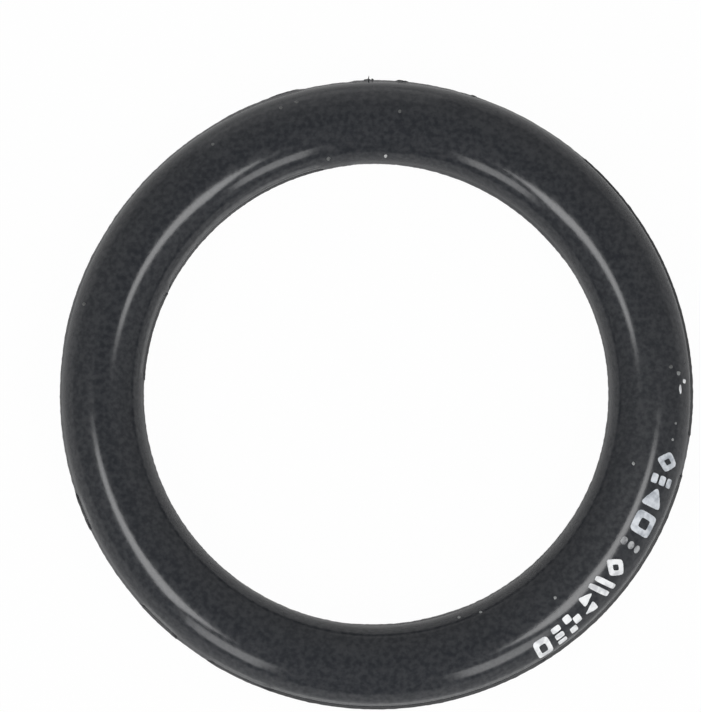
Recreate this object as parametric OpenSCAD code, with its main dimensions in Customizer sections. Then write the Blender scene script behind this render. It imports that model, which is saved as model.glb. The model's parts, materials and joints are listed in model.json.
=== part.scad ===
// Moulded rubber O-ring: an endless round cord with its parting line on the inner and outer edges.
// The ring lies in the XY plane about the origin, and +Z is its axis. Lengths are in millimetres.

/* [Ring] */
// Inside diameter, measured over the parting line
inside_d = 29.51; // [6:0.01:120]
// Diameter of the round cord, measured along the ring's axis
section_d = 5.22; // [1.5:0.01:12]

/* [Parting line] */
// Height of the thin land that the two mould halves leave at the inner and outer edge
land_h = 0.12; // [0.06:0.01:0.4]
// How far the inner land stands proud of the round cord
inner_land = 0.05; // [0.01:0.01:0.2]
// How far the outer land stands proud of the round cord
outer_land = 0.10; // [0.01:0.01:0.2]

/* [Torn flash on the outer edge] */
// Thickness of the torn film of rubber
film_t = 0.03; // [0.01:0.01:0.05]
// How deep the film is rooted inside the land
film_root = 0.2; // [0.1:0.05:0.5]
// Azimuth of each shred, in degrees counter-clockwise from +X
shred_at = [72, 85.3, 91.4, 107]; // [0:0.1:360]
// Length of each shred along the edge
shred_long = [0.5, 0.6, 0.36, 2.1]; // [0.2:0.01:4]
// Reach of each shred past the land
shred_reach = [0.07, 0.11, 0.21, 0.08]; // [0.02:0.01:0.4]
// Share of each shred's length that keeps the full reach
shred_crest = [0.3, 0.5, 0.1, 0.8]; // [0.05:0.05:0.9]

/* [Hidden] */
$fn = 180;
rubber_black = [0.20, 0.21, 0.22];
inner_r = inside_d / 2;
cord_r = section_d / 2;
pitch_r = inner_r + inner_land + cord_r;
outer_r = pitch_r + cord_r + outer_land;

// The section at its place right of the axis: the round cord, with one bar that ends in both lands
module section() {
    translate([pitch_r, 0]) circle(r = cord_r);
    translate([inner_r, -land_h / 2]) square([outer_r - inner_r, land_h]);
}

// The whole ring, turned about its axis
module moulded_ring() {
    rotate_extrude() section();
}

// One shred of flash, a flat tongue in the parting plane that narrows towards its torn edge
module shred(long, reach, crest) {
    root_w = long / 2;
    torn_w = crest * long / 2;
    translate([outer_r, 0, -film_t / 2])
        linear_extrude(height = film_t)
            polygon([[-film_root, -root_w], [reach, -torn_w], [reach, torn_w], [-film_root, root_w]]);
}

// The shreds, each at its own place round the outer edge
module torn_flash() {
    for (i = [0 : len(shred_at) - 1])
        rotate([0, 0, shred_at[i]])
            shred(shred_long[i], shred_reach[i], shred_crest[i]);
}

module o_ring() {
    color(rubber_black) union() {
        moulded_ring();
        torn_flash();
    }
}

o_ring();
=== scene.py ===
"""Studio scene of a moulded black rubber O-ring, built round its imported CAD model.

The ring lies flat on a white floor. The origin is its centre, its axis is +Z, and its parting line
lies in the XY plane. Lengths are in metres and angles in degrees, unless a name says otherwise.
"""
import json
import logging
import math
import random
from collections.abc import Callable, Iterator
from contextlib import contextmanager
from dataclasses import dataclass
from enum import Enum
from typing import Any

import bmesh
import bpy
from mathutils import Matrix, Vector, noise


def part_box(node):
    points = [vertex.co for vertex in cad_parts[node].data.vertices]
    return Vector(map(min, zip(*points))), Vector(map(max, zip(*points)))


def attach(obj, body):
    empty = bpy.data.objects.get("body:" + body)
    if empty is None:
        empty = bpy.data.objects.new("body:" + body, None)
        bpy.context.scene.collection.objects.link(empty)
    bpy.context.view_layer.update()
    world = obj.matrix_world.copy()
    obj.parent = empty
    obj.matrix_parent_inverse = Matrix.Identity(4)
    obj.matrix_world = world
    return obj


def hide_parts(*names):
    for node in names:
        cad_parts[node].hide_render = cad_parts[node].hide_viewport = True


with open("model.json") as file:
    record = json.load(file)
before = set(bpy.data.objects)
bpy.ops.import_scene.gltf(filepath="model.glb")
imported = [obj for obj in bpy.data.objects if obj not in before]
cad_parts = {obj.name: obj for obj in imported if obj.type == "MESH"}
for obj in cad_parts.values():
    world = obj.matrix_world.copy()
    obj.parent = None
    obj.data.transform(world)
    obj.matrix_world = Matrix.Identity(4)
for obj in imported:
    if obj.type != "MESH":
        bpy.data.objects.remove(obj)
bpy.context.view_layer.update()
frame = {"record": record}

LOG = logging.getLogger("o_ring_scene")
RING_NODE = "o_ring"
RING_BODY = "root"
# The ring's point attribute, from 0 to 1, that says how much lighter grey is painted on its rubber: a
# painted reflection line along the rim beside a film, and a paler patch on the crown.
SHEEN_AND_PALE = "sheen_and_pale"
MM = 0.001
# Points nearer to each other than the first are merged. A cut snaps to points nearer than the second.
MERGE_REACH = 1e-6
CUT_REACH = 1e-7
SMOOTH_ANGLE = math.radians(30)
UP = Vector((0.0, 0.0, 1.0))
WHITE = (1.0, 1.0, 1.0)

Tint = tuple[float, float, float]
Point = tuple[float, float, float]
Sockets = dict[str | int, Any]


class Seat(Enum):
    """The two seats of the ring, by the names of their mounts in the record."""

    INNER = "inner_seat"
    OUTER = "outer_seat"

    @property
    def side(self) -> int:
        """1 at the outer edge and -1 at the inner edge, where out of the cord is towards the axis."""
        return 1 if self is Seat.OUTER else -1


@dataclass(frozen=True)
class RingSize:
    """The ring's real sizes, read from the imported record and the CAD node's box."""

    inner_radius: float
    outer_radius: float
    cord_radius: float
    land_height: float
    inner_land: float = 0.05 * MM

    @classmethod
    def from_frame(cls) -> "RingSize":
        """Reads the sizes from the record's mounts and from the height of the node.

        Returns:
            RingSize: the sizes in metres.
        """
        dims = {mount["name"]: mount["dims"] for mount in frame["record"]["mounts"]}
        low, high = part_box(RING_NODE)
        return cls(
            inner_radius=dims[Seat.INNER.value]["r_mm"] * MM,
            outer_radius=dims[Seat.OUTER.value]["r_mm"] * MM,
            cord_radius=(high.z - low.z) / 2,
            land_height=dims[Seat.OUTER.value]["length_mm"] * MM,
        )

    @property
    def pitch_radius(self) -> float:
        """Radius of the line through the middle of the cord."""
        return self.inner_radius + self.inner_land + self.cord_radius

    def seat_radius(self, seat: Seat) -> float:
        """Radius of the land at one of the two seats."""
        return self.outer_radius if seat is Seat.OUTER else self.inner_radius

    def cord_edge(self, seat: Seat) -> float:
        """Radius of the round cord's own edge at one of the two seats."""
        return self.pitch_radius + seat.side * self.cord_radius


@dataclass(frozen=True)
class SurfacePlace:
    """A place on the cord's surface.

    Attributes:
        azimuth: angle round the ring, counter-clockwise from +X.
        lean: angle round the cord, from 0 on its crown to 90 on its outer edge.
    """

    azimuth: float
    lean: float

    def outward(self) -> Vector:
        """Unit vector from the ring's axis through this place, level with the floor."""
        turn = math.radians(self.azimuth)
        return Vector((math.cos(turn), math.sin(turn), 0.0))

    def normal(self) -> Vector:
        """Unit vector that points straight out of the surface here."""
        tip = math.radians(self.lean)
        return self.outward() * math.sin(tip) + UP * math.cos(tip)

    def pose(self, size: RingSize, lift: float = 0.0) -> Matrix:
        """The matrix that lays a flat shape on the surface here.

        Args:
            size: the ring's sizes.
            lift: height above the surface.

        Returns:
            Matrix: X runs round the ring, Y towards its outer edge and Z out of the surface.
        """
        normal = self.normal()
        round_ring = UP.cross(self.outward())
        to_edge = normal.cross(round_ring)
        point = self.outward() * size.pitch_radius + normal * (size.cord_radius + lift)
        turned = Matrix((round_ring, to_edge, normal)).transposed()
        return Matrix.Translation(point) @ turned.to_4x4()


def azimuth_of(point: Vector) -> float:
    """Angle of a point round the ring's axis, from 0 to 360 degrees."""
    return math.degrees(math.atan2(point.y, point.x)) % 360


def deselect_all() -> None:
    """Deselects every object, so that the next operator acts on its own piece alone."""
    bpy.ops.object.select_all(action="DESELECT")


def focus(piece: bpy.types.Object) -> None:
    """Makes one piece the only selected object and the active one.

    Args:
        piece: the piece that the next operator acts on.
    """
    deselect_all()
    piece.select_set(True)
    bpy.context.view_layer.objects.active = piece


def settle(piece: bpy.types.Object) -> None:
    """Moves a piece's place, turn and scale into its mesh."""
    focus(piece)
    bpy.ops.object.transform_apply(location=True, rotation=True, scale=True)


@contextmanager
def editing(piece: bpy.types.Object) -> Iterator[bpy.types.Mesh]:
    """Opens a piece in edit mode with all of it selected, and closes it afterwards.

    Args:
        piece: the mesh object to edit.

    Returns:
        Iterator[bpy.types.Mesh]: the mesh in edit mode.
    """
    focus(piece)
    bpy.ops.object.mode_set(mode="EDIT")
    bpy.ops.mesh.select_mode(type="VERT")
    bpy.ops.mesh.select_all(action="SELECT")
    try:
        yield piece.data
    finally:
        bpy.ops.object.mode_set(mode="OBJECT")


def pick_faces(mesh: bpy.types.Mesh, wanted: Callable[[Vector], bool]) -> int:
    """Selects, in edit mode, only the faces whose centre passes a test.

    Args:
        mesh: the mesh in edit mode.
        wanted: says whether the face with this centre is wanted.

    Returns:
        int: the number of faces selected.
    """
    bpy.ops.mesh.select_mode(type="FACE")
    bpy.ops.mesh.select_all(action="DESELECT")
    cage = bmesh.from_edit_mesh(mesh)
    chosen = [face for face in cage.faces if wanted(face.calc_center_median())]
    for face in chosen:
        face.select_set(True)
    bmesh.update_edit_mesh(mesh)
    return len(chosen)


def finish_modifier(piece: bpy.types.Object, kind: str, **settings: Any) -> None:
    """Adds one modifier to a piece, sets it and applies it.

    Args:
        piece: the object that gets it.
        kind: Blender's name for the modifier type.
        **settings: the modifier's own settings.
    """
    focus(piece)
    bpy.ops.object.modifier_add(type=kind)
    modifier = piece.modifiers[-1]
    for name, value in settings.items():
        setattr(modifier, name, value)
    bpy.ops.object.modifier_apply(modifier=modifier.name)


def join(pieces: list[bpy.types.Object], name: str) -> bpy.types.Object:
    """Joins several objects into one piece.

    Args:
        pieces: the objects, of which the first takes the others in.
        name: the name of the piece.

    Returns:
        bpy.types.Object: the joined piece.
    """
    focus(pieces[0])
    for piece in pieces[1:]:
        piece.select_set(True)
    if len(pieces) > 1:
        bpy.ops.object.join()
    pieces[0].name = name
    pieces[0].data.name = name
    return pieces[0]


def dress(piece: bpy.types.Object, material: bpy.types.Material) -> None:
    """Gives a piece one material all over, and lets it ride on the ring's body.

    Args:
        piece: the finished piece.
        material: its material.
    """
    piece.data.materials.clear()
    piece.data.materials.append(material)
    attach(piece, RING_BODY)


class NodeSheet:
    """Adds and joins the nodes of one node tree."""

    STEP = 190.0
    ROWS = 5

    def __init__(self, tree: bpy.types.NodeTree) -> None:
        """Takes an empty tree, or empties it."""
        self.tree = tree
        self.tree.nodes.clear()

    def add(self, kind: str, sockets: Sockets | None = None, **settings: Any) -> bpy.types.Node:
        """Adds a node, sets it and joins its inputs.

        Args:
            kind: Blender's name for the node type.
            sockets: for each input, by name or number, its value or the output that feeds it.
            **settings: the node's own settings.

        Returns:
            bpy.types.Node: the new node.
        """
        count = len(self.tree.nodes)
        node = self.tree.nodes.new(kind)
        node.location = (count // self.ROWS * self.STEP, -(count % self.ROWS) * self.STEP)
        for name, value in settings.items():
            setattr(node, name, value)
        for key, value in (sockets or {}).items():
            self.feed(node.inputs[key], value)
        return node

    def feed(self, socket: bpy.types.NodeSocket, value: Any) -> None:
        """Joins an output to a socket, or writes a plain value in it."""
        if isinstance(value, bpy.types.NodeSocket):
            self.tree.links.new(value, socket)
        else:
            socket.default_value = value

    def maths(self, operation: str, *values: Any) -> bpy.types.NodeSocket:
        """Adds a Math node.

        Args:
            operation: Blender's name for the sum.
            *values: numbers, or outputs that give them.

        Returns:
            bpy.types.NodeSocket: the result.
        """
        node = self.add("ShaderNodeMath", dict(enumerate(values)), operation=operation)
        return node.outputs[0]

    def spread(self, value: Any, low: float, high: float, to_low: Any = 0.0, to_high: Any = 1.0) -> Any:
        """Adds a Map Range node that carries low to high over to to_low and to_high.

        Args:
            value: the output to carry over.
            low: the value that becomes to_low.
            high: the value that becomes to_high.
            to_low: result at low.
            to_high: result at high.

        Returns:
            Any: the result's socket.
        """
        node = self.add("ShaderNodeMapRange", {0: value, 1: low, 2: high, 3: to_low, 4: to_high})
        return node.outputs[0]

    def blend(self, share: Any, under: Any, over: Any) -> bpy.types.NodeSocket:
        """Adds a colour Mix node.

        Args:
            share: how much of the second colour shows, from 0 to 1.
            under: the first colour.
            over: the second colour.

        Returns:
            bpy.types.NodeSocket: the mixed colour.
        """
        node = self.tree.nodes.new("ShaderNodeMix")
        node.data_type = "RGBA"
        self.feed(node.inputs["Factor"], share)
        self.feed(node.inputs[6], under)
        self.feed(node.inputs[7], over)
        return node.outputs[2]

    def effect(self, group: bpy.types.NodeTree, values: Sockets) -> bpy.types.NodeSocket:
        """Places one of the shared effects with its own values.

        Args:
            group: the effect's node group.
            values: the inputs that differ from the group's own.

        Returns:
            bpy.types.NodeSocket: the effect's output.
        """
        node = self.add("ShaderNodeGroup", None, node_tree=group)
        for key, value in values.items():
            self.feed(node.inputs[key], value)
        return node.outputs[0]

    def clouds(self, place: Any, scale: Any, detail: Any) -> bpy.types.NodeSocket:
        """Adds a Noise node and gives its value."""
        sockets = {"Vector": place, "Scale": scale, "Detail": detail}
        return self.add("ShaderNodeTexNoise", sockets).outputs[0]

    def bump(self, height: Any) -> bpy.types.NodeSocket:
        """Turns a height in metres into a normal."""
        node = self.add("ShaderNodeBump", {"Strength": 1.0, "Distance": 1.0, "Height": height})
        return node.outputs["Normal"]

    def finish(self, colour: Any, rough: Any, normal: Any, ior: float) -> None:
        """Adds the shader that the effects feed, and the material's output.

        Args:
            colour: the base colour's output.
            rough: the roughness's output.
            normal: the normal's output.
            ior: the index of refraction, the same all over.
        """
        sockets = {"Base Color": colour, "Roughness": rough, "Normal": normal, "IOR": ior}
        shader = self.add("ShaderNodeBsdfPrincipled", sockets)
        self.add("ShaderNodeOutputMaterial", {"Surface": shader.outputs["BSDF"]})

    def object_place(self) -> bpy.types.NodeSocket:
        """Adds a Texture Coordinate node and gives its Object output."""
        return self.add("ShaderNodeTexCoord").outputs["Object"]


def rgba(tint: Tint) -> tuple[float, float, float, float]:
    """A colour with full alpha, as a colour socket takes it."""
    return (*tint, 1.0)


class SurfaceEffects:
    """The effects that several materials share, each built once as a shader node group."""

    WAVE_DETAIL = 1.0
    GRAIN_DETAIL = 2.0

    def __init__(self) -> None:
        """Builds the groups."""
        self.patches = self.build_patches()
        self.skin = self.build_skin()

    @staticmethod
    def new_group(name: str, inputs: dict[str, float], outputs: list[str]) -> bpy.types.NodeTree:
        """Makes a node group with float sockets.

        Args:
            name: the group's name.
            inputs: each input's name and its starting value.
            outputs: the outputs' names.

        Returns:
            bpy.types.NodeTree: the group, with no nodes in it yet.
        """
        group = bpy.data.node_groups.new(name, "ShaderNodeTree")
        sockets = group.interface
        for label, value in inputs.items():
            socket = sockets.new_socket(label, in_out="INPUT", socket_type="NodeSocketFloat")
            socket.default_value = value
        for label in outputs:
            sockets.new_socket(label, in_out="OUTPUT", socket_type="NodeSocketFloat")
        return group

    def build_patches(self) -> bpy.types.NodeTree:
        """Cloudy patches: a mask of soft blotches, with a smooth or a hard edge.

        Returns:
            bpy.types.NodeTree: the group.
        """
        inputs = {"Scale": 500.0, "Detail": 3.0, "From": 0.35, "To": 0.65}
        group = self.new_group("cloudy_patches", inputs, ["Mask"])
        sheet = NodeSheet(group)
        given = sheet.add("NodeGroupInput").outputs
        clouds = sheet.clouds(sheet.object_place(), given["Scale"], given["Detail"])
        limits = {0: clouds, 1: given["From"], 2: given["To"]}
        mask = sheet.add("ShaderNodeMapRange", limits, interpolation_type="SMOOTHSTEP")
        sheet.add("NodeGroupOutput", {"Mask": mask.outputs[0]})
        return group

    def build_skin(self) -> bpy.types.NodeTree:
        """Moulded skin: the height of long shallow waves with a fine grain on them, in metres.

        Returns:
            bpy.types.NodeTree: the group.
        """
        inputs = {"Wave scale": 600.0, "Wave height": 1e-5, "Grain scale": 4000.0, "Grain height": 1e-6}
        group = self.new_group("moulded_skin", inputs, ["Height"])
        sheet = NodeSheet(group)
        given = sheet.add("NodeGroupInput").outputs
        place = sheet.object_place()
        waves = sheet.clouds(place, given["Wave scale"], self.WAVE_DETAIL)
        grain = sheet.clouds(place, given["Grain scale"], self.GRAIN_DETAIL)
        wave_height = sheet.maths("MULTIPLY", waves, given["Wave height"])
        grain_height = sheet.maths("MULTIPLY", grain, given["Grain height"])
        sheet.add("NodeGroupOutput", {"Height": sheet.maths("ADD", wave_height, grain_height)})
        return group


@dataclass(frozen=True)
class RubberFinish:
    """Satin black rubber as it comes out of a polished mould.

    Attributes:
        dark: its colour between the cloudy patches.
        light: its colour in the patches.
        land_tint: the parting line's colour.
        patch_scale: how fine the patches are, in waves to the metre.
        patch_detail: how many finer layers of patches lie on them.
        patch_from: value of the clouds at which a patch begins.
        patch_to: value at which it is full.
        smooth: roughness between the patches.
        dull: roughness in the patches.
        land_roughness: the parting line's roughness.
        land_full: share of the land's height, from its middle, that has the land's full look.
        land_gone: share at which that look has gone.
        sheen_and_pale_tint: the lighter grey painted on the rubber, for the painted reflection line
            along the rim and for the paler patch on the crown.
        sheen_and_pale_least: how much of that painted grey shows at least, between the patches.
        wave_scale: how fine the long shallow waves of the skin are.
        wave_height: their height.
        grain_scale: how fine the skin's grain is.
        grain_height: its height.
        ior: index of refraction.
    """

    dark: Tint = (0.0214, 0.0234, 0.0278)
    light: Tint = (0.0410, 0.0432, 0.0476)
    land_tint: Tint = (0.054, 0.055, 0.057)
    patch_scale: float = 3000.0
    patch_detail: float = 5.0
    patch_from: float = 0.30
    patch_to: float = 0.70
    smooth: float = 0.145
    dull: float = 0.185
    land_roughness: float = 0.42
    land_full: float = 0.45
    land_gone: float = 0.6
    sheen_and_pale_tint: Tint = (0.138, 0.141, 0.144)
    sheen_and_pale_least: float = 0.65
    wave_scale: float = 700.0
    wave_height: float = 5e-6
    grain_scale: float = 4200.0
    grain_height: float = 1.1e-6
    ior: float = 1.42

    def material(self, effects: SurfaceEffects, size: RingSize) -> bpy.types.Material:
        """Builds the rubber, with a greyer and duller parting line.

        Args:
            effects: the shared node groups.
            size: the ring's sizes, for the height of the parting line.

        Returns:
            bpy.types.Material: the rubber.
        """
        material = new_material("moulded_rubber")
        sheet = NodeSheet(material.node_tree)
        patches = {"Scale": self.patch_scale, "Detail": self.patch_detail}
        mask = sheet.effect(effects.patches, patches | {"From": self.patch_from, "To": self.patch_to})
        waves = {"Wave scale": self.wave_scale, "Wave height": self.wave_height}
        grain = {"Grain scale": self.grain_scale, "Grain height": self.grain_height}
        skin = sheet.effect(effects.skin, waves | grain)
        height = sheet.add("ShaderNodeSeparateXYZ", {0: sheet.object_place()}).outputs["Z"]
        above = sheet.maths("ABSOLUTE", height)
        tall = size.land_height
        land = sheet.spread(above, tall * self.land_full, tall * self.land_gone, 1.0, 0.0)
        body = sheet.blend(mask, rgba(self.dark), rgba(self.light))
        sheen_and_pale = sheet.add("ShaderNodeAttribute", attribute_name=SHEEN_AND_PALE).outputs["Fac"]
        cover = sheet.spread(mask, 0.0, 1.0, self.sheen_and_pale_least, 1.0)
        # Painted reflection: the lighter grey line along the rim beside a film, and also the paler patch
        # on the crown, both read from the point attribute.
        flank = sheet.blend(sheet.maths("MULTIPLY", sheen_and_pale, cover), body, rgba(self.sheen_and_pale_tint))
        colour = sheet.blend(land, flank, rgba(self.land_tint))
        worn = sheet.spread(mask, 0.0, 1.0, self.smooth, self.dull)
        rough = sheet.maths("MAXIMUM", worn, sheet.maths("MULTIPLY", land, self.land_roughness))
        sheet.finish(colour, rough, sheet.bump(skin), self.ior)
        return material


@dataclass(frozen=True)
class InkFinish:
    """Stamping ink or dust that lies thin enough in places for the rubber to show through.

    Attributes:
        name: the material's name.
        solid: its colour where it covers.
        thin: its colour where it is worn thin.
        patch_scale: how fine the worn patches are, in waves to the metre.
        thin_from: value of the clouds up to which it is worn thin.
        thin_to: value from which it covers.
        roughness: roughness where it covers.
        thin_roughness: roughness where it is worn thin.
        grain_scale: how fine its grain is.
        grain_height: the grain's height.
        ior: index of refraction.
    """

    name: str
    solid: Tint = (0.88, 0.89, 0.90)
    thin: Tint = (0.58, 0.59, 0.61)
    patch_scale: float = 1700.0
    thin_from: float = 0.30
    thin_to: float = 0.62
    roughness: float = 0.55
    thin_roughness: float = 0.45
    grain_scale: float = 3800.0
    grain_height: float = 2e-6
    ior: float = 1.45

    def material(self, effects: SurfaceEffects) -> bpy.types.Material:
        """Builds the ink.

        Args:
            effects: the shared node groups.

        Returns:
            bpy.types.Material: the ink.
        """
        material = new_material(self.name)
        sheet = NodeSheet(material.node_tree)
        patches = {"Scale": self.patch_scale, "From": self.thin_from, "To": self.thin_to}
        mask = sheet.effect(effects.patches, patches)
        grain = {"Wave height": 0.0, "Grain scale": self.grain_scale, "Grain height": self.grain_height}
        skin = sheet.effect(effects.skin, grain)
        colour = sheet.blend(mask, rgba(self.thin), rgba(self.solid))
        rough = sheet.spread(mask, 0.0, 1.0, self.thin_roughness, self.roughness)
        sheet.finish(colour, rough, sheet.bump(skin), self.ior)
        return material


def new_material(name: str) -> bpy.types.Material:
    """Makes a material with nodes.

    Args:
        name: its name.

    Returns:
        bpy.types.Material: the material.
    """
    material = bpy.data.materials.new(name)
    material.use_nodes = True
    return material


@dataclass(frozen=True)
class Shred:
    """A torn remnant of moulding flash on the outer parting line.

    Attributes:
        azimuth: its place round the ring.
        length: its length along the edge.
        reach: how far its torn edge stands past the land.
        crest: share of the length that keeps the full reach.
        drift: how far the torn edge is bent along the ring, counter-clockwise.
        ragged: how much of the reach the tear takes away at most, from place to place.
    """

    azimuth: float
    length: float
    reach: float
    crest: float
    drift: float = 0.0
    ragged: float = 0.3


@dataclass(frozen=True)
class Station:
    """A place on the trimmed parting line, which runs evenly from one station to the next.

    Attributes:
        azimuth: its place round the ring.
        reach: how far the line stands out past the seat here, less than 0 where it falls short.
    """

    azimuth: float
    reach: float


@dataclass(frozen=True)
class FilmRun:
    """A stretch of the parting line where the trimming left a thin flat film of flash.

    Attributes:
        start: azimuth where it begins.
        sweep: angle that it covers, counter-clockwise.
        reach: how far the film stands out past the seat.
        root: how far the flank under it lies inside the round cord's edge, less than 0 where it
            stands proud.
        sheen_height: height above and below it of a lighter grey line painted on the flank, a painted
            reflection of the floor on the rim.
        fade: angle at each end over which the root rises to the round cord.
    """

    start: float
    sweep: float
    reach: float
    root: float
    sheen_height: float = 0.86 * MM
    fade: float = 1.5

    def holds(self, azimuth: float) -> bool:
        """Whether the film covers this azimuth."""
        return (azimuth - self.start) % 360 < self.sweep

    def fullness(self, azimuth: float) -> float:
        """How fully the run has begun at this azimuth, from 0 at its ends to 1 past their fade."""
        into = (azimuth - self.start) % 360
        return min(1.0, into / self.fade, (self.sweep - into) / self.fade)


@dataclass(frozen=True)
class PartingEdge:
    """The parting line on one edge of the ring, as the trimming left it.

    Attributes:
        seat: the edge.
        stations: places along its low trimmed ridge, from the lowest azimuth to the highest.
        films: where the film was left.
    """

    seat: Seat
    stations: tuple[Station, ...]
    films: tuple[FilmRun, ...]

    def film_at(self, azimuth: float) -> FilmRun | None:
        """The film that covers this azimuth, or None where the line is trimmed."""
        return next((film for film in self.films if film.holds(azimuth)), None)

    def reach(self, azimuth: float) -> float:
        """How far the trimmed ridge stands out past the seat at this azimuth.

        Args:
            azimuth: the place round the ring.

        Returns:
            float: the reach between the two nearest stations, in metres.
        """
        for before, after in zip((self.stations[-1], *self.stations), self.stations):
            span = (after.azimuth - before.azimuth) % 360
            beyond = (azimuth - before.azimuth) % 360
            if beyond < span:
                return before.reach + (after.reach - before.reach) * beyond / span
        return 0.0


@dataclass(frozen=True)
class PalePatch:
    """A paler grey patch on the crown of the cord, beside the stamp.

    Attributes:
        azimuth: its middle round the ring.
        sweep: angle from its middle to either end.
        lean: its middle round the cord.
        spread: angle round the cord from its middle to either side.
        share: how much of the lighter grey tint shows in its middle.
    """

    azimuth: float = 340.0
    sweep: float = 46.0
    lean: float = -3.0
    spread: float = 18.0
    share: float = 0.28

    def strength(self, azimuth: float, lean: float) -> float:
        """How much of the lighter grey tint shows at a place on the cord.

        Args:
            azimuth: the place round the ring.
            lean: the place round the cord.

        Returns:
            float: 0 outside the patch, and up to share in its middle.
        """
        off_middle = abs((azimuth - self.azimuth + 180) % 360 - 180) / self.sweep
        off_crown = abs(lean - self.lean) / self.spread
        return self.share * max(0.0, 1.0 - off_middle) * max(0.0, 1.0 - off_crown)


@dataclass
class MouldedRing:
    """The one-piece rubber ring: a round cord, its parting line and shreds of flash on it.

    Attributes:
        size: the ring's real sizes.
        outer_edge: the parting line on the outer edge.
        inner_edge: the parting line on the inner edge.
        shreds: the shreds of flash on the outer edge.
        pale_patch: the paler grey patch on the crown.
        round_points: points round the cord's section.
        steps: sections round the ring.
        film: thickness of a film of flash.
        film_least: the least that a film stands out past its seat.
        flank_height: height above the parting plane where the flank under a film leaves the round cord.
        ridge_height: height where a trimmed ridge leaves it.
        sheen_reach: half the height of the painted reflection line beside a film.
        tear_length: length of the waves that the trimming left along the line.
        tear_depth: how deep they are.
        wall_reach: how far from a wall or a crest the middle of a face may lie and still belong to it.
        shred_cuts: cuts in each face under a shred.
        tear_seed: seed of the torn edges.
    """

    size: RingSize
    outer_edge: PartingEdge = PartingEdge(
        Seat.OUTER,
        stations=(
            Station(49.0, -0.025 * MM),
            Station(70.0, -0.015 * MM),
            Station(84.0, 0.020 * MM),
            Station(94.2, 0.050 * MM),
            Station(94.8, -0.008 * MM),
            Station(103.0, 0.000 * MM),
            Station(104.5, 0.070 * MM),
            Station(117.0, 0.065 * MM),
            Station(123.0, 0.010 * MM),
            Station(150.0, 0.000 * MM),
            Station(165.0, 0.035 * MM),
            Station(175.0, -0.022 * MM),
        ),
        films=(
            FilmRun(198.5, 7.0, 0.022 * MM, root=-0.02 * MM, sheen_height=0.80 * MM),
            FilmRun(222.0, 9.0, 0.015 * MM, root=0.01 * MM, sheen_height=0.75 * MM),
            FilmRun(238.0, 12.0, 0.010 * MM, root=-0.02 * MM, sheen_height=0.75 * MM),
            FilmRun(250.0, 52.0, 0.010 * MM, root=0.050 * MM, sheen_height=0.78 * MM),
            FilmRun(302.0, 43.0, 0.010 * MM, root=0.065 * MM, sheen_height=0.72 * MM),
            FilmRun(352.5, 56.0, 0.020 * MM, root=0.045 * MM, sheen_height=0.66 * MM),
        ),
    )
    inner_edge: PartingEdge = PartingEdge(
        Seat.INNER,
        stations=(
            Station(33.0, 0.000 * MM),
            Station(42.0, 0.055 * MM),
            Station(72.0, 0.035 * MM),
            Station(84.0, 0.000 * MM),
            Station(94.0, -0.025 * MM),
            Station(101.0, 0.000 * MM),
            Station(262.0, 0.000 * MM),
            Station(268.0, 0.050 * MM),
            Station(288.0, 0.085 * MM),
            Station(296.0, 0.042 * MM),
            Station(322.0, 0.038 * MM),
            Station(332.0, 0.010 * MM),
        ),
        films=(
            FilmRun(103.0, 50.0, 0.008 * MM, root=0.05 * MM),
            FilmRun(154.0, 22.5, 0.030 * MM, root=0.05 * MM),
        ),
    )
    shreds: tuple[Shred, ...] = (
        Shred(azimuth=72.0, length=0.50 * MM, reach=0.06 * MM, crest=0.3),
        Shred(azimuth=85.3, length=0.90 * MM, reach=0.08 * MM, crest=0.5),
        Shred(azimuth=90.7, length=0.24 * MM, reach=0.10 * MM, crest=0.4),
        Shred(azimuth=91.6, length=0.50 * MM, reach=0.06 * MM, crest=0.7),
        Shred(azimuth=91.4, length=0.11 * MM, reach=0.29 * MM, crest=0.05, drift=-0.05 * MM),
        Shred(azimuth=107.0, length=2.10 * MM, reach=0.04 * MM, crest=0.55, ragged=0.12),
    )
    pale_patch: PalePatch = PalePatch()
    round_points: int = 80
    steps: int = 720
    film: float = 0.04 * MM
    film_least: float = 0.002 * MM
    flank_height: float = 0.45 * MM
    ridge_height: float = 0.36 * MM
    sheen_reach: float = 0.27 * MM
    tear_length: float = 0.32 * MM
    tear_depth: float = 0.028 * MM
    wall_reach: float = 0.010 * MM
    shred_cuts: int = 3
    tear_seed: int = 5

    def build(self) -> bpy.types.Object:
        """Draws the section, spins it round the axis, and raises the parting line and its flash.

        Returns:
            bpy.types.Object: the ring in one closed mesh.
        """
        ring = self.draw_section()
        self.spin_section(ring)
        for edge in (self.outer_edge, self.inner_edge):
            self.raise_land(ring, edge.seat)
            self.trim(ring, edge)
            self.leave_film(ring, edge)
        for shred in self.shreds:
            self.pull_shred(ring, shred)
        self.mark_sheen_and_pale(ring)
        focus(ring)
        bpy.ops.object.shade_smooth_by_angle(angle=SMOOTH_ANGLE)
        return ring

    def draw_section(self) -> bpy.types.Object:
        """Draws the cord's round outline, with points at the edges of the land and of the film.

        Returns:
            bpy.types.Object: the outline, standing at its place beside the axis.
        """
        size = self.size
        deselect_all()
        bpy.ops.mesh.primitive_circle_add(
            vertices=self.round_points,
            radius=size.cord_radius,
            location=(size.pitch_radius, 0.0, 0.0),
            rotation=(math.pi / 2, 0.0, 0.0),
        )
        ring = bpy.context.active_object
        ring.name = "moulded_ring"
        ring.data.name = "moulded_ring"
        settle(ring)
        with editing(ring):
            for height in (size.land_height / 2, self.film / 2):
                for level in (height, -height):
                    bpy.ops.mesh.select_all(action="SELECT")
                    bpy.ops.mesh.bisect(plane_co=(0.0, 0.0, level), plane_no=UP, threshold=CUT_REACH)
        return ring

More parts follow.
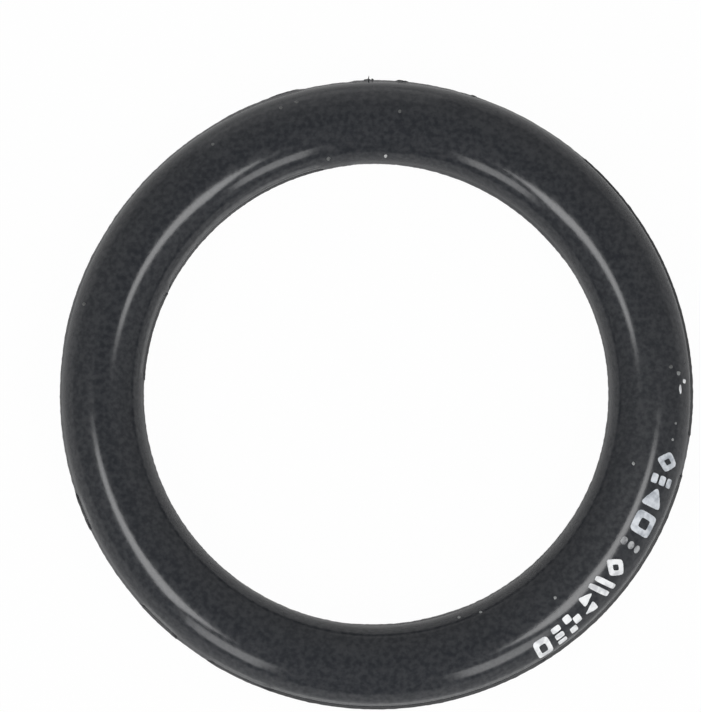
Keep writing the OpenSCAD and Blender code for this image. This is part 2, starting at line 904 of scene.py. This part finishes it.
    def spin_section(self, ring: bpy.types.Object) -> None:
        """Spins the outline round the ring's axis and closes the seam."""
        with editing(ring):
            bpy.ops.mesh.spin(steps=self.steps, angle=2 * math.pi, center=(0.0, 0.0, 0.0), axis=UP)
            bpy.ops.mesh.select_all(action="SELECT")
            bpy.ops.mesh.remove_doubles(threshold=MERGE_REACH)
            bpy.ops.mesh.normals_make_consistent(inside=False)

    def raise_land(self, ring: bpy.types.Object, seat: Seat) -> None:
        """Extrudes one land from the cord's edge to its seat's radius."""
        factor = self.size.seat_radius(seat) / self.size.cord_edge(seat)
        with editing(ring) as mesh:
            pick_faces(mesh, lambda at: self.on_land(at, seat, self.size.land_height / 2))
            bpy.ops.mesh.extrude_region_move()
            bpy.ops.transform.resize(value=(factor, factor, 1.0), center_override=(0.0, 0.0, 0.0))

    def crest_radius(self, edge: PartingEdge, azimuth: float) -> float:
        """Radius of the trimmed ridge's own outline at this azimuth."""
        reach = edge.reach(azimuth) + self.tear(azimuth)
        return self.size.seat_radius(edge.seat) + edge.seat.side * reach

    def on_land(self, at: Vector, seat: Seat, half_height: float) -> bool:
        """Whether a point lies on this seat's side, within half_height of the parting plane."""
        is_outside = at.xy.length > self.size.pitch_radius
        return abs(at.z) < half_height and is_outside == (seat is Seat.OUTER)

    def tear(self, azimuth: float) -> float:
        """How far the trimming stood off or cut in at this azimuth, in metres."""
        at = SurfacePlace(azimuth, 90.0).outward() * self.size.outer_radius / self.tear_length
        return self.tear_depth * noise.noise(at)

    def trim(self, ring: bpy.types.Object, edge: PartingEdge) -> None:
        """Rounds one land over to a low ridge, and steepens the flank where the film was left.

        Args:
            ring: the ring's piece.
            edge: the parting line to trim.
        """
        size, seat = self.size, edge.seat
        wall = size.seat_radius(seat)
        with editing(ring) as mesh:
            cage = bmesh.from_edit_mesh(mesh)
            for vertex in [v for v in cage.verts if self.on_land(v.co, seat, self.flank_height)]:
                azimuth = azimuth_of(vertex.co)
                film = edge.film_at(azimuth)
                if film is None:
                    crest = self.crest_radius(edge, azimuth)
                    self.ease(vertex, seat, self.ridge_height, crest, 1.0)
                elif abs(vertex.co.xy.length - wall) > MERGE_REACH:
                    root = size.cord_edge(seat) - seat.side * film.root
                    self.ease(vertex, seat, self.flank_height, root, film.fullness(azimuth))
            bmesh.update_edit_mesh(mesh)
            bpy.ops.mesh.remove_doubles(threshold=MERGE_REACH)

    def ease(
        self, vertex: bmesh.types.BMVert, seat: Seat, height: float, crest: float, share: float
    ) -> None:
        """Moves a point onto a curve that climbs from the round cord to a crest in the parting plane.

        Args:
            vertex: the point, which stays where it is above the curve's start.
            seat: the edge that the curve lies on.
            height: height above the parting plane at which the curve leaves the round cord.
            crest: the curve's radius in the parting plane.
            share: how much of the way to the curve the point goes, from 0 to 1.
        """
        if abs(vertex.co.z) >= height:
            return
        shoulder = self.size.pitch_radius + seat.side * math.sqrt(self.size.cord_radius**2 - height**2)
        rise = math.sin((1.0 - abs(vertex.co.z) / height) * math.pi / 2)
        here = vertex.co.xy.length
        self.set_radius(vertex, here + (shoulder + (crest - shoulder) * rise - here) * share)

    def leave_film(self, ring: bpy.types.Object, edge: PartingEdge) -> None:
        """Extrudes the thin film that the trimming left on one land.

        Args:
            ring: the ring's piece.
            edge: the parting line that carries it.
        """
        seat, half_film = edge.seat, self.film / 2
        wall = self.size.seat_radius(seat)

        def in_film(at: Vector) -> bool:
            """Whether a point lies on the land's wall, where a film grows out of it."""
            is_at_wall = self.on_land(at, seat, half_film) and abs(at.xy.length - wall) < self.wall_reach
            return is_at_wall and edge.film_at(azimuth_of(at)) is not None

        with editing(ring) as mesh:
            pick_faces(mesh, in_film)
            bpy.ops.mesh.extrude_region_move()
            cage = bmesh.from_edit_mesh(mesh)
            for vertex in [v for v in cage.verts if v.select]:
                azimuth = azimuth_of(vertex.co)
                film = edge.film_at(azimuth)
                reach = film.reach + self.tear(azimuth) if film else 0.0
                self.set_radius(vertex, wall + seat.side * max(reach, self.film_least))
            bmesh.update_edit_mesh(mesh)

    @staticmethod
    def set_radius(vertex: bmesh.types.BMVert, radius: float) -> None:
        """Moves a point straight in or out to this distance from the ring's axis."""
        factor = radius / vertex.co.xy.length
        vertex.co = Vector((vertex.co.x * factor, vertex.co.y * factor, vertex.co.z))

    @staticmethod
    def along_edge(vertex: bmesh.types.BMVert) -> tuple[float, ...]:
        """Sorts points round the ring, then upwards and outwards, so that each run tears them alike."""
        return round(azimuth_of(vertex.co), 3), round(vertex.co.z / MM, 3), vertex.co.xy.length

    def pull_shred(self, ring: bpy.types.Object, shred: Shred) -> None:
        """Pulls one shred out of the crest of the outer parting line and tears its edge.

        Args:
            ring: the ring's piece.
            shred: the shred to pull.
        """
        edge = self.outer_edge
        half_turn = math.degrees(shred.length / 2 / self.size.outer_radius)
        margin = 360.0 / self.steps / 2
        torn = random.Random(self.tear_seed + round(shred.azimuth))

        def near_shred(at: Vector, reach: float = half_turn + margin) -> bool:
            """Whether a point lies within this angle of the shred, level with its film."""
            is_near = abs(azimuth_of(at) - shred.azimuth) < reach
            return is_near and self.on_land(at, Seat.OUTER, self.film / 2)

        def in_shred(at: Vector) -> bool:
            """Whether a point lies on the crest that the shred grows out of."""
            crest = self.crest_radius(edge, azimuth_of(at))
            return at.xy.length > crest - self.wall_reach and near_shred(at, half_turn)

        with editing(ring) as mesh:
            pick_faces(mesh, near_shred)
            bpy.ops.mesh.subdivide(number_cuts=self.shred_cuts)
            pick_faces(mesh, in_shred)
            bpy.ops.mesh.extrude_region_move()
            cage = bmesh.from_edit_mesh(mesh)
            pulled = [v for v in cage.verts if v.select]
            for vertex in sorted(pulled, key=self.along_edge):
                azimuth = azimuth_of(vertex.co)
                across = (azimuth - shred.azimuth) / half_turn
                rise = min(1.0, max(0.0, (1.0 - abs(across)) / (1.0 - shred.crest)))
                reach = shred.reach * rise * (1.0 - shred.ragged * torn.random())
                self.set_radius(vertex, self.crest_radius(edge, azimuth) + reach)
                vertex.co += UP.cross(vertex.co.normalized()) * shred.drift * rise
            bmesh.update_edit_mesh(mesh)

    def mark_sheen_and_pale(self, ring: bpy.types.Object) -> None:
        """Writes on each point how much lighter grey is painted there: a painted reflection line on the
        rim beside the film, and a paler patch on the crown beside the stamp.
        """
        marks = ring.data.attributes.new(SHEEN_AND_PALE, "FLOAT", "POINT")
        for vertex in ring.data.vertices:
            azimuth = azimuth_of(vertex.co)
            beyond = vertex.co.xy.length - self.size.pitch_radius
            edge = self.outer_edge if beyond > 0 else self.inner_edge
            film = edge.film_at(azimuth)
            # A paler grey patch on the crown beside the stamp.
            grey = self.pale_patch.strength(azimuth, math.degrees(math.atan2(beyond, vertex.co.z)))
            # Painted reflection of the floor: a lighter grey line on the flank, at the film's given
            # height.
            if film:
                off_line = abs(abs(vertex.co.z) - film.sheen_height) / self.sheen_reach
                grey += film.fullness(azimuth) * max(0.0, 1.0 - off_line)
            marks.data[vertex.index].value = grey

    def dress(self, ring: bpy.types.Object, rubber: bpy.types.Material) -> None:
        """Dresses the ring in rubber and lets it stand for the CAD node.

        Args:
            ring: the ring's piece.
            rubber: the rubber.
        """
        dress(ring, rubber)
        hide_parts(RING_NODE)


class Outline(Enum):
    """Outlines that a stamped shape may have: corners, turn of the first one, and reach of them all."""

    DISC = (28, 0.0, 0.5)
    WEDGE = (3, 0.0, 0.6)
    LOZENGE = (4, 0.0, 0.5)
    BLOCK = (4, 45.0, math.sqrt(0.5))

    def __init__(self, corners: int, start: float, reach: float) -> None:
        """Names the outline's numbers.

        Args:
            corners: how many corners it has.
            start: turn of the first corner.
            reach: distance of the corners from its middle, as a share of its size.
        """
        self.corners = corners
        self.start = start
        self.reach = reach


@dataclass(frozen=True)
class Cutout:
    """One simple shape of a stamped mark, in the mark's own plane.

    Attributes:
        outline: the shape's outline.
        width: size round the ring.
        height: size across the cord.
        across: middle of the shape, round the ring.
        along: middle of the shape, towards the outer edge.
        turn: turn of the shape in its plane.
        hole: size of its hole as a share of its own, 0 where it is solid.
    """

    outline: Outline
    width: float
    height: float
    across: float = 0.0
    along: float = 0.0
    turn: float = 0.0
    hole: float = 0.0


class Motif(Enum):
    """The plain marks that stand where the ring is stamped."""

    LOZENGE = "lozenge"
    WEDGE = "wedge"
    HOURGLASS = "hourglass"
    FRAME = "frame"
    DOTS = "dots"
    STACK = "stack"
    CHECKS = "checks"
    SLANTS = "slants"


@dataclass(frozen=True)
class Mark:
    """One stamped mark: where its middle lies, what it shows and how wide it is."""

    azimuth: float
    lean: float
    motif: Motif
    width: float = 1.12 * MM


@dataclass
class StampMarks:
    """Two groups of plain ink marks along the outer half of the cord, with a faint mark between them.

    Attributes:
        size: the ring's real sizes.
        first_group: the worn marks.
        faint_group: the faint mark.
        second_group: the clear marks.
        mark_height: height of a mark, across the cord.
        film: thickness of the ink.
        gap: height of its underside over the rubber.
        lift: height from which a flat shape is pressed down on the rubber.
        edge_cuts: cuts in each side of an outline, so that it can bend and fray.
        corner_rounds: how often the corners are rounded.
        corner_softness: how far they are rounded each time, from 0 to 1.
        ragged: how far the outline frays.
        inner_rings: sizes of the rings of faces in a solid shape, as shares of its own.
        slant: turn of the slanted bars.
    """

    size: RingSize
    first_group: tuple[Mark, ...] = (
        Mark(346.1, 38.5, Motif.LOZENGE, 1.30 * MM),
        Mark(342.3, 38.5, Motif.STACK, 0.62 * MM),
        Mark(338.2, 38.5, Motif.WEDGE, 1.55 * MM),
        Mark(333.3, 37.5, Motif.FRAME, 1.50 * MM),
    )
    faint_group: tuple[Mark, ...] = (Mark(328.5, 35.5, Motif.DOTS, 1.05 * MM),)
    second_group: tuple[Mark, ...] = (
        Mark(323.3, 35.5, Motif.LOZENGE, 1.25 * MM),
        Mark(318.9, 38.5, Motif.SLANTS, 1.05 * MM),
        Mark(314.7, 42.0, Motif.HOURGLASS),
        Mark(310.4, 48.0, Motif.CHECKS),
        Mark(306.7, 51.5, Motif.STACK, 0.66 * MM),
        Mark(302.9, 54.5, Motif.FRAME),
    )
    mark_height: float = 1.90 * MM
    film: float = 0.010 * MM
    gap: float = 0.003 * MM
    lift: float = 0.3 * MM
    edge_cuts: int = 7
    corner_rounds: int = 3
    corner_softness: float = 0.5
    ragged: float = 0.010 * MM
    inner_rings: tuple[float, ...] = (0.75, 0.5, 0.25)
    slant: float = 14.0

    def cutouts(self, mark: Mark) -> list[Cutout]:
        """The simple shapes that make up one mark.

        Args:
            mark: the mark.

        Returns:
            list[Cutout]: its shapes.
        """
        wide, tall = mark.width, self.mark_height
        match mark.motif:
            case Motif.LOZENGE:
                return [Cutout(Outline.LOZENGE, wide * 1.1, tall * 1.05, hole=0.36)]
            case Motif.WEDGE:
                return [Cutout(Outline.WEDGE, tall, wide, along=0.10 * tall, turn=-90.0)]
            case Motif.HOURGLASS:
                return [
                    Cutout(Outline.WEDGE, tall * 0.52, wide, along=side * 0.26 * tall, turn=side * -90.0)
                    for side in (-1, 1)
                ]
            case Motif.FRAME:
                return [Cutout(Outline.BLOCK, wide, tall, hole=0.44)]
            case Motif.DOTS:
                return [
                    Cutout(Outline.DISC, wide * 0.5, wide * 0.5, along=place * tall)
                    for place in (-0.35, 0.0, 0.35)
                ]
            case Motif.STACK:
                return [
                    Cutout(Outline.BLOCK, wide, tall * 0.27, along=place * tall)
                    for place in (-0.365, 0.0, 0.365)
                ]
            case Motif.CHECKS:
                return [
                    Cutout(Outline.BLOCK, wide * 0.48, tall * 0.36, side * 0.25 * wide, place * tall)
                    for side, place in ((-1, -0.32), (1, 0.02), (-1, 0.32))
                ]
            case _:
                return [
                    Cutout(Outline.BLOCK, wide * 0.36, tall, across=side * 0.30 * wide, turn=self.slant)
                    for side in (-1, 1)
                ]

    def build(self, ring: bpy.types.Object) -> dict[str, bpy.types.Object]:
        """Builds the marks on the ring's surface.

        Args:
            ring: the finished ring, on which the ink lies.

        Returns:
            dict[str, bpy.types.Object]: the joined marks of each group, by name.
        """
        groups = {
            "stamp_first": self.first_group,
            "stamp_faint": self.faint_group,
            "stamp_second": self.second_group,
        }
        return {name: self.build_group(name, marks, ring) for name, marks in groups.items()}

    def build_group(
        self, name: str, marks: tuple[Mark, ...], ring: bpy.types.Object
    ) -> bpy.types.Object:
        """Builds one group of marks and joins them.

        Args:
            name: the group's name.
            marks: its marks.
            ring: the surface that the ink follows.

        Returns:
            bpy.types.Object: the group as one piece.
        """
        shapes = [
            self.lay(cutout, SurfacePlace(mark.azimuth, mark.lean), ring)
            for mark in marks
            for cutout in self.cutouts(mark)
        ]
        return join(shapes, name)

    def cut_flat(self, cutout: Cutout) -> bpy.types.Object:
        """Cuts one shape out of a flat sheet, as rings of faces inside its outline.

        Args:
            cutout: the shape.

        Returns:
            bpy.types.Object: the shape about the origin, in its own plane.
        """
        outline = cutout.outline
        deselect_all()
        bpy.ops.mesh.primitive_circle_add(vertices=outline.corners, radius=outline.reach)
        shape = bpy.context.active_object
        shape.rotation_euler.z = math.radians(outline.start)
        settle(shape)
        shape.scale = (cutout.width, cutout.height, 1.0)
        settle(shape)
        is_solid = cutout.hole == 0
        shares = self.inner_rings if is_solid else ((1 + cutout.hole) / 2, cutout.hole)
        with editing(shape):
            if outline is not Outline.DISC:
                bpy.ops.mesh.subdivide(number_cuts=self.edge_cuts)
                bpy.ops.mesh.vertices_smooth(factor=self.corner_softness, repeat=self.corner_rounds)
            bpy.ops.transform.vertex_random(offset=self.ragged, seed=outline.corners)
            reached = 1.0
            for share in shares:
                step = share / reached
                bpy.ops.mesh.extrude_region_move()
                bpy.ops.transform.resize(value=(step, step, 1.0), center_override=(0.0, 0.0, 0.0))
                reached = share
            if is_solid:
                bpy.ops.mesh.extrude_region_move()
                bpy.ops.mesh.merge(type="CENTER")
        return shape

    def lay(self, cutout: Cutout, place: SurfacePlace, ring: bpy.types.Object) -> bpy.types.Object:
        """Lays one shape on the cord and gives it the ink's thickness.

        Args:
            cutout: the shape.
            place: where the middle of the mark lies.
            ring: the surface that the ink follows.

        Returns:
            bpy.types.Object: the shape as a thin closed skin.
        """
        shape = self.cut_flat(cutout)
        turn = Matrix.Rotation(math.radians(cutout.turn), 4, "Z")
        shift = Matrix.Translation((cutout.across, cutout.along, 0.0))
        shape.matrix_world = place.pose(self.size, self.lift) @ shift @ turn
        settle(shape)
        with editing(shape):
            bpy.ops.mesh.normals_make_consistent(inside=False)
        finish_modifier(
            shape,
            "SHRINKWRAP",
            target=ring,
            wrap_method="NEAREST_SURFACEPOINT",
            wrap_mode="ABOVE_SURFACE",
            offset=self.gap,
        )
        finish_modifier(shape, "SOLIDIFY", thickness=self.film, offset=1.0)
        return shape

    def dress(self, groups: dict[str, bpy.types.Object], inks: dict[str, bpy.types.Material]) -> None:
        """Gives each group of marks its ink."""
        for name, piece in groups.items():
            dress(piece, inks[name])
            focus(piece)
            bpy.ops.object.shade_smooth_by_angle(angle=SMOOTH_ANGLE)


@dataclass(frozen=True)
class Speck:
    """A speck that lies on the cord: its place, its length and its width."""

    place: SurfacePlace
    length: float
    width: float
    turn: float = 0.0


@dataclass
class Specks:
    """Small specks of one kind that lie on the ring, such as dust or stray ink.

    Attributes:
        name: the piece's name.
        size: the ring's real sizes.
        specks: the specks.
        flatness: height of a speck as a share of its width.
        ragged: how uneven it is, as a share of its size.
        seed: seed of the first speck's unevenness.
    """

    name: str
    size: RingSize
    specks: tuple[Speck, ...]
    flatness: float = 0.35
    ragged: float = 0.12
    seed: int = 3

    def build(self) -> bpy.types.Object:
        """Models one flat ragged grain for each speck and joins them.

        Returns:
            bpy.types.Object: all the specks as one piece.
        """
        return join([self.grain(i, speck) for i, speck in enumerate(self.specks)], self.name)

    def grain(self, number: int, speck: Speck) -> bpy.types.Object:
        """Models one speck.

        Args:
            number: its number, which makes its ragged shape its own.
            speck: its place and size.

        Returns:
            bpy.types.Object: the speck, half sunk in the surface.
        """
        deselect_all()
        bpy.ops.mesh.primitive_ico_sphere_add(subdivisions=2, radius=0.5)
        grain = bpy.context.active_object
        with editing(grain):
            bpy.ops.transform.vertex_random(offset=self.ragged, seed=self.seed + number)
        turn = Matrix.Rotation(math.radians(speck.turn), 4, "Z")
        stretch = Matrix.Diagonal((speck.length, speck.width, speck.width * self.flatness, 1.0))
        grain.matrix_world = speck.place.pose(self.size) @ turn @ stretch
        settle(grain)
        return grain

    def dress(self, piece: bpy.types.Object, material: bpy.types.Material) -> None:
        """Gives the specks their colour."""
        dress(piece, material)


@dataclass(frozen=True)
class SoftBox:
    """A long soft light, given by the middles of its two short ends.

    Attributes:
        name: the lamp's name.
        head: middle of its upper end, in metres from the ring's centre.
        foot: middle of its lower end.
        width: its width.
        brightness: how bright its face looks, where 1 is white.
    """

    name: str
    head: Point
    foot: Point
    width: float
    brightness: float

    def build(self) -> bpy.types.Object:
        """Makes the area light, level across and with its face to the ring.

        Returns:
            bpy.types.Object: the lamp.
        """
        head, foot = Vector(self.head), Vector(self.foot)
        middle = (head + foot) / 2
        along = (foot - head).normalized()
        level = Vector((1.0, 0.0, 0.0))
        across = (level - along * level.dot(along)).normalized()
        back = along.cross(across)
        if back.dot(middle) < 0:
            across = -across
            back = -back
        deselect_all()
        bpy.ops.object.light_add(type="AREA")
        lamp = bpy.context.active_object
        lamp.name = self.name
        lamp.data.name = self.name
        lamp.data.shape = "RECTANGLE"
        lamp.data.size = (foot - head).length
        lamp.data.size_y = self.width
        lamp.data.energy = self.brightness * math.pi * lamp.data.size * lamp.data.size_y
        turned = Matrix((along, across, back)).transposed()
        lamp.matrix_world = Matrix.Translation(middle) @ turned.to_4x4()
        lamp.visible_camera = False
        return lamp


def toward(azimuth: float, zenith: float, distance: float) -> Point:
    """Finds a point by its direction from the ring's centre.

    Args:
        azimuth: the direction's angle round the ring.
        zenith: its angle down from straight up.
        distance: the point's distance.

    Returns:
        Point: the point, in metres.
    """
    turn, tip = math.radians(azimuth), math.radians(zenith)
    level = distance * math.sin(tip)
    return (level * math.cos(turn), level * math.sin(turn), distance * math.cos(tip))


@dataclass
class Studio:
    """The white floor, the dim surroundings and the soft lights.

    The surroundings are given by the direction from the ring, as a vector of length 1.

    Attributes:
        size: the ring's real sizes.
        half_floor: half the floor's side.
        floor_white: how white the floor is for the light.
        floor_glow: how far the camera sees plain white in place of the floor's own shades.
        front_sky: brightness of the surroundings in front and overhead.
        rear_sky: brightness behind.
        right_glow: what the right side adds in front.
        left_glow: what the left side adds in front.
        front_end: Y at which the front ends.
        rear_start: Y at which the rear is full.
        dark_top: Z at which the rear is as dim as the front.
        clear_top: Z below which the rear has its own brightness.
        side_start: X, to either side, at which that side's glow sets in.
        side_full: X at which it is full.
        boxes: the soft lights.
    """

    size: RingSize
    half_floor: float = 3.0
    floor_white: float = 0.69
    floor_glow: float = 0.98
    front_sky: float = 0.09
    rear_sky: float = 0.35
    right_glow: float = 0.30
    left_glow: float = 0.16
    front_end: float = -0.35
    rear_start: float = 0.25
    dark_top: float = 0.99
    clear_top: float = 0.80
    side_start: float = 0.35
    side_full: float = 0.80
    boxes: tuple[SoftBox, ...] = (
        SoftBox("left_box", (-0.3136, 0.0137, 0.5083), (-0.1811, -0.1849, 0.2187), 0.114, 7.8),
        SoftBox("right_box", (0.3152, 0.0162, 0.6085), (0.2000, -0.2392, 0.3085), 0.136, 7.8),
        SoftBox("rear_bounce", (-0.0065, 0.028, 0.0078), (-0.0065, 0.028, -0.001), 0.025, 0.32),
        SoftBox("left_window", toward(235.5, 57.0, 0.2), toward(235.5, 77.5, 0.2), 0.072, 4.4),
        SoftBox("right_window", toward(299.5, 57.0, 0.2), toward(299.5, 77.5, 0.2), 0.076, 4.4),
    )

    def build(self) -> None:
        """Builds the floor, the world and the lights."""
        self.build_floor()
        self.build_world()
        for box in self.boxes:
            box.build()

    def build_floor(self) -> None:
        """Lays the floor under the ring."""
        deselect_all()
        level = -self.size.cord_radius
        bpy.ops.mesh.primitive_plane_add(size=2 * self.half_floor, location=(0.0, 0.0, level))
        floor = bpy.context.active_object
        floor.name = "studio_floor"
        settle(floor)
        floor.data.materials.append(self.floor_material())

    def floor_material(self) -> bpy.types.Material:
        """White for the camera with a faint shadow, plain matt white for the light, clear from below.

        Returns:
            bpy.types.Material: the floor's paint.
        """
        material = new_material("floor_paint")
        sheet = NodeSheet(material.node_tree)
        is_camera = sheet.add("ShaderNodeLightPath").outputs["Is Camera Ray"]
        from_below = sheet.add("ShaderNodeNewGeometry").outputs["Backfacing"]
        matt = sheet.add("ShaderNodeBsdfDiffuse", {"Color": rgba((self.floor_white,) * 3)})
        glow = sheet.add("ShaderNodeEmission", {"Color": rgba(WHITE), "Strength": 1.0})
        clear = sheet.add("ShaderNodeBsdfTransparent")
        share = sheet.maths("MULTIPLY", is_camera, self.floor_glow)
        lit = sheet.add("ShaderNodeMixShader", {0: share, 1: matt.outputs[0], 2: glow.outputs[0]})
        unseen = sheet.maths("MULTIPLY", is_camera, from_below)
        paint = sheet.add("ShaderNodeMixShader", {0: unseen, 1: lit.outputs[0], 2: clear.outputs[0]})
        sheet.add("ShaderNodeOutputMaterial", {"Surface": paint.outputs[0]})
        return material

    def build_world(self) -> None:
        """Makes the surroundings white for the camera, and dim for the light, paler behind and aside."""
        world = bpy.data.worlds.new("studio_surroundings")
        world.use_nodes = True
        bpy.context.scene.world = world
        sheet = NodeSheet(world.node_tree)
        is_camera = sheet.add("ShaderNodeLightPath").outputs["Is Camera Ray"]
        direction = sheet.add("ShaderNodeTexCoord").outputs["Generated"]
        parts = sheet.add("ShaderNodeSeparateXYZ", {0: direction}).outputs
        behind = sheet.spread(parts["Y"], self.front_end, self.rear_start)
        low = sheet.spread(parts["Z"], self.dark_top, self.clear_top)
        share = sheet.maths("MULTIPLY", behind, low)
        dim = sheet.spread(share, 0.0, 1.0, self.front_sky, self.rear_sky)
        ahead = sheet.maths("SUBTRACT", 1.0, behind)
        for side, most in ((1, self.right_glow), (-1, self.left_glow)):
            aside = sheet.spread(parts["X"], side * self.side_start, side * self.side_full, 0.0, most)
            dim = sheet.maths("ADD", dim, sheet.maths("MULTIPLY", ahead, aside))
        strength = sheet.spread(is_camera, 0.0, 1.0, dim, 1.0)
        glow = sheet.add("ShaderNodeBackground", {"Color": rgba(WHITE), "Strength": strength})
        sheet.add("ShaderNodeOutputWorld", {"Surface": glow.outputs[0]})


@dataclass
class PhotoCamera:
    """The camera at the photograph's viewing angle.

    Attributes:
        elevation: its angle above the floor, seen from -Y.
        distance: its distance from the ring's centre.
        view_height: what the long side of the picture spans at the ring.
        right_of_middle: how far right of the picture's middle the ring's centre shows.
        below_middle: how far below the picture's middle the ring's centre shows.
        sensor: the long side of its sensor, in millimetres.
        clip_near: nearest distance that it sees.
        clip_far: farthest distance that it sees.
    """

    elevation: float = 82.9
    distance: float = 1.0
    view_height: float = 45.25 * MM
    right_of_middle: float = 1.629 * MM
    below_middle: float = 2.428 * MM
    sensor: float = 36.0
    clip_near: float = 0.01
    clip_far: float = 20.0

    def build(self) -> bpy.types.Object:
        """Makes the camera and gives it to the scene.

        Returns:
            bpy.types.Object: the camera.
        """
        tip = math.radians(self.elevation)
        back = Vector((0.0, -math.cos(tip), math.sin(tip)))
        right = Vector((1.0, 0.0, 0.0))
        above = back.cross(right)
        place = back * self.distance - right * self.right_of_middle + above * self.below_middle
        deselect_all()
        bpy.ops.object.camera_add()
        camera = bpy.context.active_object
        camera.name = "photo_camera"
        turned = Matrix((right, above, back)).transposed()
        camera.matrix_world = Matrix.Translation(place) @ turned.to_4x4()
        camera.data.sensor_width = self.sensor
        camera.data.lens = self.sensor * self.distance / self.view_height
        camera.data.clip_start = self.clip_near
        camera.data.clip_end = self.clip_far
        bpy.context.scene.camera = camera
        return camera


# The specks on the ring, from the darkest dust to stray ink.
DULL_DUST = (
    Speck(SurfacePlace(123.4, 33.4), 0.22 * MM, 0.24 * MM),
    Speck(SurfacePlace(108.5, 39.8), 0.24 * MM, 0.30 * MM),
    Speck(SurfacePlace(105.3, 42.1), 0.22 * MM, 0.28 * MM, 40.0),
    Speck(SurfacePlace(101.5, -57.1), 0.26 * MM, 0.36 * MM),
    Speck(SurfacePlace(163.3, 48.6), 0.24 * MM, 0.30 * MM),
    Speck(SurfacePlace(85.2, 9.8), 0.24 * MM, 0.20 * MM, 70.0),
    Speck(SurfacePlace(4.5, 30.5), 0.24 * MM, 0.30 * MM, 15.0),
)
GREY_DUST = (
    Speck(SurfacePlace(3.3, 43.6), 0.28 * MM, 0.34 * MM),
    Speck(SurfacePlace(353.7, 40.5), 0.17 * MM, 0.19 * MM),
    Speck(SurfacePlace(350.5, 39.1), 0.17 * MM, 0.19 * MM),
    Speck(SurfacePlace(343.8, -9.8), 0.24 * MM, 0.20 * MM, 30.0),
    Speck(SurfacePlace(310.4, 1.1), 0.21 * MM, 0.20 * MM),
    Speck(SurfacePlace(295.1, -44.1), 0.20 * MM, 0.24 * MM, 20.0),
    Speck(SurfacePlace(290.0, -52.5), 0.22 * MM, 0.29 * MM),
)
PALE_DUST = (Speck(SurfacePlace(87.7, -61.5), 0.22 * MM, 0.34 * MM),)
INK_SPOTS = (
    Speck(SurfacePlace(1.9, 55.1), 0.30 * MM, 0.36 * MM),
    Speck(SurfacePlace(0.3, 46.1), 0.62 * MM, 0.22 * MM, 4.0),
)


def report(piece: bpy.types.Object) -> None:
    """Logs a finished piece with the number of its faces."""
    LOG.info("%s: %d faces", piece.name, len(piece.data.polygons))


def main() -> None:
    """Builds the camera, the studio, the ring, its stamp and its specks, in that order."""
    logging.basicConfig(level=logging.INFO, format="%(message)s")
    bpy.context.scene.view_settings.view_transform = "Standard"
    size = RingSize.from_frame()
    PhotoCamera().build()
    Studio(size).build()
    effects = SurfaceEffects()
    rubber = RubberFinish().material(effects, size)
    solid_ink = InkFinish("stamp_ink").material(effects)
    worn_ink = InkFinish("stamp_ink_worn", solid=(0.70, 0.73, 0.77), thin=(0.36, 0.39, 0.43))
    faint_ink = InkFinish("stamp_ink_faint", solid=(0.45, 0.46, 0.47), thin=(0.10, 0.10, 0.11))
    dull_dust = InkFinish("dull_dust", solid=(0.115, 0.120, 0.120), thin=(0.085, 0.088, 0.088))
    grey_dust = InkFinish("grey_dust", solid=(0.29, 0.30, 0.30), thin=(0.20, 0.21, 0.21))
    pale_dust = InkFinish("pale_dust", solid=(0.56, 0.57, 0.57), thin=(0.46, 0.47, 0.47))

    moulding = MouldedRing(size)
    ring = moulding.build()
    moulding.dress(ring, rubber)
    report(ring)

    stamp = StampMarks(size)
    groups = stamp.build(ring)
    inks = {
        "stamp_first": worn_ink.material(effects),
        "stamp_faint": faint_ink.material(effects),
        "stamp_second": solid_ink,
    }
    stamp.dress(groups, inks)
    for piece in groups.values():
        report(piece)

    kinds = (
        (Specks("dust_dull", size, DULL_DUST), dull_dust.material(effects)),
        (Specks("dust_grey", size, GREY_DUST), grey_dust.material(effects)),
        (Specks("dust_pale", size, PALE_DUST), pale_dust.material(effects)),
        (Specks("ink_spots", size, INK_SPOTS), solid_ink),
    )
    for kind, material in kinds:
        piece = kind.build()
        kind.dress(piece, material)
        report(piece)


if __name__ == "__main__":
    main()
